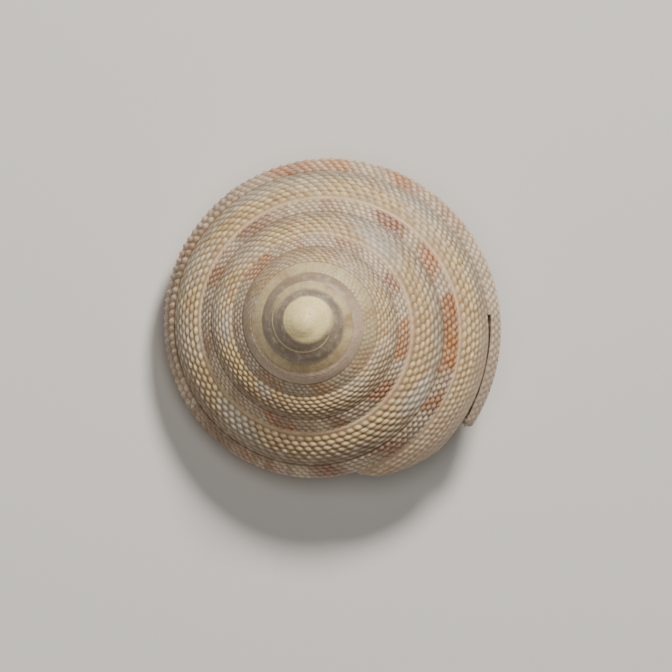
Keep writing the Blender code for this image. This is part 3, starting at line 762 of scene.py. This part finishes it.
def colouring(turn, station, growth, bead, tone, inner):
    """Masks from 0 to 1 that the material reads, one array for each name."""
    x = station / BAND_TOP
    outside = 1.0 - inner
    ragged = 0.006 * (chance(190.0 * turn + 3.0 * station, 7.0) + chance(60.0 * station, 8.0) - 1.0)
    red, amber = patches(turn + ragged + 0.05 * (station - 0.85), 0.008)
    spotted = np.clip(0.55 + tone, 0.0, 1.0)
    blush = np.maximum(*patches(turn - 1.0 + ragged, 0.014))
    over_suture = (1.0 - ease(x, 0.04, 0.26)) * (station < BAND_TOP)
    strip = plateau(station, BAND_TOP + 0.005, 1.05, 0.020) * outside
    lip = ease(growth, -0.16, -0.03) * (station <= KEEL) * outside
    on_face = (station <= BAND_TOP) * outside
    face = plateau(x, 0.06, 0.985, 0.03)
    pale = (plateau(turn, -2.64, -2.40, 0.05) + plateau(turn, -1.50, -1.45, 0.02)) * strip
    young = np.where(on_face, 1.0 - ease(turn, -2.7, -2.1), 1.0 - ease(turn, -2.7, -2.3))
    dome, cream, ring = apex_masks(turn, station, strip, face)
    groove_shade, slit_edge_shade = painted_shade_lines(turn, station, growth, lip)
    # Painted shade: brown darkening of some stretches of the older whorls and of the strip
    painted_shade = painted_brown_shade(turn, x, strip, on_face) * (1.0 - 0.8 * pale)
    painted_shade = painted_shade * np.where(station > BAND_TOP, np.clip(1.35 - tone, 0.3, 1.0), 1.0)
    flames = spots(turn, x, FLAMES) * (x < 1.2) * (1.0 - 0.25 * lip)
    lines = 0.6 * chance(250.0 * growth, 11.0) + 0.4 * chance(70.0 * growth + 0.7 * x, 12.0)
    lines = lines * (0.35 + 0.65 * (1.0 - ease(turn, -2.6, -2.0))) * (1.0 - 0.8 * dome)
    return {
        "bead": bead,
        "bead_tone": tone,
        "grey": ease(x, 0.50, 0.80) * on_face * ease(turn, -2.5, -2.0) * (1.0 - 0.5 * lip),
        "painted_shade": painted_shade,
        "clear": np.maximum(spots(turn, x, CLEARINGS) * on_face, pale),
        "flame": np.maximum(flames, base_flames(turn, station) * outside),
        "ridge": hump(x, 0.065, 0.10) * on_face * ease(turn, -1.5, -0.9) * (1.0 - 0.6 * lip),
        "blush": blush * over_suture * ease(turn, -2.3, -1.9),
        "young": young * outside,
        "beige": plateau(turn, -3.10, -2.58, 0.10) * face,
        "ring": ring,
        "strip": strip * ease(turn, -2.9, -2.5),
        "cream": cream,
        "red": red * strip * spotted,
        "amber": amber * strip * spotted,
        "base": ease(station, 1.04, 1.12) * outside,
        "lip": lip,
        # Painted shade: dark line in the groove at the slit band and in the crease of the suture
        "groove_shade": groove_shade * outside,
        "pit": pit_depth(turn, station) * outside,
        "pearl": np.maximum(inner, ease(station, 1.85, 2.0)) * (station != SLIT_WALL),
        # Painted shade: the slit's side walls and the edges of the open slit are near black, where the
        # inside of the slit lies in shade
        "slit": np.maximum(1.0 * (station == SLIT_WALL), slit_edge_shade * outside),
        "streak": lines * (station <= KEEL),
    }


def smooth_normals(points, face_groups):
    """Normals of the whole surface, so that the pieces show no seam."""
    normals = np.zeros_like(points)
    for faces, _ in face_groups:
        corners = points[faces]
        if faces.shape[1] == 4:
            normal = np.cross(corners[:, 2] - corners[:, 0], corners[:, 3] - corners[:, 1])
        else:
            normal = np.cross(corners[:, 1] - corners[:, 0], corners[:, 2] - corners[:, 0])
        for corner in range(faces.shape[1]):
            np.add.at(normals, faces[:, corner], normal)
    return normals / np.maximum(np.linalg.norm(normals, axis=1, keepdims=True), 1e-12)


def build_piece(name, groups, points, normals, masks):
    """One mesh object from its groups of faces, with only the vertices that they use."""
    used = np.unique(np.concatenate([faces.reshape(-1) for faces in groups]))
    local = np.full(len(points), -1)
    local[used] = np.arange(len(used))
    polygons = [list(dict.fromkeys(polygon)) for faces in groups for polygon in local[faces].tolist()]
    polygons = [polygon for polygon in polygons if len(polygon) > 2]
    data = bpy.data.meshes.new(name)
    data.from_pydata(points[used].tolist(), [], polygons)
    data.update()
    for mask, values in masks.items():
        layer = data.attributes.new(mask, "FLOAT", "POINT")
        layer.data.foreach_set("value", values[used].astype(np.float32))
    data.shade_smooth()
    data.normals_split_custom_set_from_vertices(normals[used].tolist())
    piece = bpy.data.objects.new(name, data)
    bpy.context.collection.objects.link(piece)
    return piece


def build_pieces(surface):
    """Cuts the surface in pieces and stands them as the CAD solid rests."""
    points = np.concatenate(surface.points)
    normals = smooth_normals(points, surface.faces)
    masks = colouring(*np.concatenate(surface.fields).T)
    matrix = np.array(coil_frame())
    points, normals = points @ matrix.T + np.array(COIL_ORIGIN), normals @ matrix.T
    pieces = []
    for number, name in PIECE_NAMES.items():
        groups = [faces for faces, piece in surface.faces if piece == number]
        pieces.append(build_piece(name, groups, points, normals, masks))
    return pieces


def paint(red, green, blue):
    """Linear colour from the 0 to 255 values of a display."""
    shares = [value / 255.0 for value in (red, green, blue)]
    return tuple(s / 12.92 if s <= 0.04045 else ((s + 0.055) / 1.055) ** 2.4 for s in shares) + (1.0,)


# Colour of the ground and of the beads in each zone, laid over each other in this order
ZONES = [
    ("grey", paint(124, 110, 92), paint(204, 194, 170), 0.85),
    ("clear", paint(156, 146, 134), paint(224, 219, 204), 0.85),
    ("flame", paint(164, 100, 44), paint(240, 176, 92), 0.95),
    ("ridge", paint(228, 204, 164), paint(238, 216, 176), 0.85),
    ("blush", paint(190, 128, 98), paint(226, 176, 146), 0.24),
    ("young", paint(150, 136, 114), paint(172, 160, 138), 0.90),
    ("beige", paint(206, 180, 156), paint(222, 198, 176), 0.75),
    ("ring", paint(130, 118, 104), paint(140, 128, 114), 0.90),
    ("strip", paint(146, 124, 102), paint(234, 216, 190), 0.90),
    ("cream", paint(250, 228, 164), paint(250, 230, 172), 1.00),
    ("red", paint(84, 40, 28), paint(206, 154, 124), 0.97),
    ("amber", paint(146, 84, 38), paint(230, 168, 98), 0.88),
    # painted shade: brown darkening of parts of the older whorls and of the strip
    ("painted_shade", paint(112, 84, 58), paint(188, 160, 126), 0.80),
    ("base", paint(186, 160, 128), paint(226, 208, 180), 0.90),
    ("lip", paint(192, 166, 140), paint(216, 196, 170), 0.70),
    # painted shade in the groove at the slit band and along the suture
    ("groove_shade", paint(92, 74, 56), paint(108, 90, 70), 0.65),
    ("pit", paint(62, 52, 40), paint(62, 52, 40), 0.90),
    # painted shade of the slit: its side walls and edges are near black
    ("slit", paint(48, 40, 24), paint(48, 40, 24), 1.00),
]
GROUND = paint(146, 110, 74)
BEAD = paint(236, 214, 160)
PEARL = paint(226, 220, 208)
MOTTLE = paint(176, 158, 146)
STREAK = paint(122, 100, 78)
PALE_SPECKS = paint(240, 224, 192)
DARK_SPECKS = paint(110, 88, 66)


class Nodes:
    """Short ways to add nodes to a material. Values may be sockets, numbers or colours."""

    def __init__(self, material):
        material.use_nodes = True
        self.nodes, self.links = material.node_tree.nodes, material.node_tree.links
        self.coordinates = self.nodes.new("ShaderNodeTexCoord")

    def fill(self, socket, value):
        if isinstance(value, (int, float, tuple)):
            socket.default_value = value
        else:
            self.links.new(value, socket)

    def attribute(self, name):
        node = self.nodes.new("ShaderNodeAttribute")
        node.attribute_name = name
        return node.outputs["Fac"]

    def math(self, kind, *values):
        node = self.nodes.new("ShaderNodeMath")
        node.operation = kind
        for socket, value in zip(node.inputs, values):
            self.fill(socket, value)
        return node.outputs[0]

    def mix(self, factor, one, other):
        node = self.nodes.new("ShaderNodeMix")
        node.data_type = "RGBA"
        for socket, value in ((0, factor), (6, one), (7, other)):
            self.fill(node.inputs[socket], value)
        return node.outputs[2]

    def noise(self, scale, detail, rough, low, high):
        """Noise on the object's own coordinates, spread so that low gives 0 and high gives 1."""
        node = self.nodes.new("ShaderNodeTexNoise")
        for socket, value in (("Scale", scale), ("Detail", detail), ("Roughness", rough),
                              ("Vector", self.coordinates.outputs["Object"])):
            self.fill(node.inputs[socket], value)
        spread = self.nodes.new("ShaderNodeMapRange")
        for socket, value in (("From Min", low), ("From Max", high), ("Value", node.outputs["Fac"])):
            self.fill(spread.inputs[socket], value)
        return spread.outputs["Result"]


def shell_colour(kit, fine, grain):
    """Zones laid over each other, on the ground and on the beads, with fine unevenness on top."""
    attribute, math, mix = kit.attribute, kit.math, kit.mix
    cloud = kit.noise(160.0, 3.0, 0.5, 0.32, 0.68)
    mottle = kit.noise(420.0, 3.0, 0.6, 0.45, 0.70)
    ground, bead = GROUND, BEAD
    patchy = math("MULTIPLY_ADD", cloud, 0.45, 0.74)
    for name, under, over, most in ZONES:
        factor = math("MINIMUM", math("MULTIPLY", math("MULTIPLY", attribute(name), patchy), most), 1.0)
        ground = mix(factor, ground, under)
        bead = mix(factor, bead, over)
    worn = math("MULTIPLY", math("SUBTRACT", 1.0, attribute("bead_tone")), 0.55)
    colour = mix(attribute("bead"), ground, mix(worn, bead, ground))
    clouded = math("MULTIPLY", mottle, math("MULTIPLY_ADD", attribute("cream"), -0.20, 0.22))
    colour = mix(clouded, colour, MOTTLE)
    colour = mix(math("MULTIPLY", attribute("streak"), 0.30), colour, STREAK)
    colour = mix(math("MULTIPLY", math("SUBTRACT", fine, 0.5), 0.4), colour, PALE_SPECKS)
    colour = mix(math("MULTIPLY", math("SUBTRACT", 0.5, grain), 0.5), colour, DARK_SPECKS)
    return mix(attribute("pearl"), colour, PEARL)


def shell_material():
    material = bpy.data.materials.new("shell_beaded")
    kit = Nodes(material)
    surface = kit.nodes["Principled BSDF"]
    fine = kit.noise(900.0, 3.0, 0.6, 0.3, 0.7)
    grain = kit.noise(2600.0, 2.0, 0.6, 0.3, 0.7)
    kit.fill(surface.inputs["Base Color"], shell_colour(kit, fine, grain))
    rough = kit.math("MULTIPLY_ADD", fine, 0.16, 0.36)
    rough = kit.math("SUBTRACT", rough, kit.math("MULTIPLY", kit.attribute("pearl"), 0.15))
    kit.fill(surface.inputs["Roughness"], rough)
    bump = kit.nodes.new("ShaderNodeBump")
    bump.inputs["Strength"].default_value = 0.25
    bump.inputs["Distance"].default_value = 0.0001
    kit.fill(bump.inputs["Height"], kit.math("ADD", fine, kit.math("MULTIPLY", grain, 0.6)))
    kit.fill(surface.inputs["Normal"], bump.outputs["Normal"])
    surface.inputs["Coat Weight"].default_value = 0.06
    surface.inputs["Coat Roughness"].default_value = 0.20
    return material


def build_shell():
    surface = Surface()
    numbers = build_outside(surface)
    build_apex(surface, numbers)
    base_ends = build_base(surface, numbers)
    hollow = build_hollow(surface)
    build_rims(surface, numbers, hollow, base_ends)
    material = shell_material()
    for piece in build_pieces(surface):
        piece.data.materials.append(material)
        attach(piece, "root")
        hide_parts("shell")


def coil_frame():
    """Turns a direction of the coil's own frame to the frame of the scene."""
    return UP_IN_COIL.normalized().rotation_difference(Vector((0.0, 0.0, 1.0))).to_matrix()


CAMERA_LEAN = 7.5
CAMERA_SIDE = 13.0
PIXEL = 50.0 / 334.0 * MM
FRAME_PIXELS = 672
APEX_PIXEL = (303.4, 321.5)
AIM_DEPTH = 22.0 * MM
LENS = 800.0
SENSOR = 36.0


def build_camera():
    """Long lens at the photograph's viewing angle. Returns the picture's right and up."""
    lean, side = radians(CAMERA_LEAN), radians(CAMERA_SIDE)
    along = Vector((cos(side), -sin(side), 0.0))
    axis = Vector((0.0, 0.0, 1.0))
    toward = axis * cos(lean) + along * sin(lean)
    level = along * cos(lean) - axis * sin(lean)
    other = toward.cross(level)
    right = level * cos(side) + other * sin(side)
    up = other * cos(side) - level * sin(side)
    turned = coil_frame()
    toward, right, up = turned @ toward, turned @ right, turned @ up
    middle = FRAME_PIXELS / 2
    apex = COIL_ORIGIN - turned @ axis * APEX_DEPTH * MM
    target = apex - toward * AIM_DEPTH
    target += right * (middle - APEX_PIXEL[0]) * PIXEL - up * (middle - APEX_PIXEL[1]) * PIXEL
    camera_data = bpy.data.cameras.new("camera")
    camera_data.lens = LENS
    camera_data.sensor_width = SENSOR
    camera_data.clip_end = 20.0
    camera = bpy.data.objects.new("camera", camera_data)
    distance = FRAME_PIXELS * PIXEL * LENS / SENSOR
    matrix = Matrix((right, up, toward)).transposed().to_4x4()
    matrix.translation = target + toward * distance
    camera.matrix_world = matrix
    bpy.context.collection.objects.link(camera)
    bpy.context.scene.camera = camera
    return right, up


def area_light(name, place_at, aim, size, power, colour):
    data = bpy.data.lights.new(name, "AREA")
    data.shape = "DISK"
    data.size = size
    data.energy = power
    data.color = colour
    light = bpy.data.objects.new(name, data)
    light.location = place_at
    light.rotation_mode = "QUATERNION"
    light.rotation_quaternion = (aim - place_at).to_track_quat("-Z", "Y")
    bpy.context.collection.objects.link(light)


def build_stage(right, up):
    """Pale floor and soft light that is strongest from the top of the picture."""
    data = bpy.data.meshes.new("floor")
    half, level = 1.5, min(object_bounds()[0][2], 0.0)
    corners = [(-half, -half, level), (half, -half, level), (half, half, level), (-half, half, level)]
    data.from_pydata(corners, [], [(0, 1, 2, 3)])
    floor = bpy.data.objects.new("floor", data)
    material = bpy.data.materials.new("pale_floor")
    material.use_nodes = True
    surface = material.node_tree.nodes["Principled BSDF"]
    surface.inputs["Base Color"].default_value = (0.64, 0.63, 0.61, 1.0)
    surface.inputs["Roughness"].default_value = 0.8
    data.materials.append(material)
    bpy.context.collection.objects.link(floor)
    floor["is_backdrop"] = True
    centre = Vector((0.0, 0.0, 0.015))
    height = Vector((0.0, 0.0, 1.0))
    key_at = centre + up * 0.37 + right * 0.11 + height * 0.46
    area_light("key", key_at, centre, 0.16, 5.8, (1.0, 0.955, 0.89))
    fill_at = centre - up * 0.06 - right * 0.08 + height * 0.62
    area_light("fill", fill_at, centre, 0.3, 1.35, (1.0, 0.965, 0.92))
    world = bpy.data.worlds.new("studio")
    world.use_nodes = True
    background = world.node_tree.nodes["Background"]
    background.inputs["Color"].default_value = (1.0, 0.98, 0.95, 1.0)
    background.inputs["Strength"].default_value = 0.05
    bpy.context.scene.world = world


build_shell()
build_stage(*build_camera())
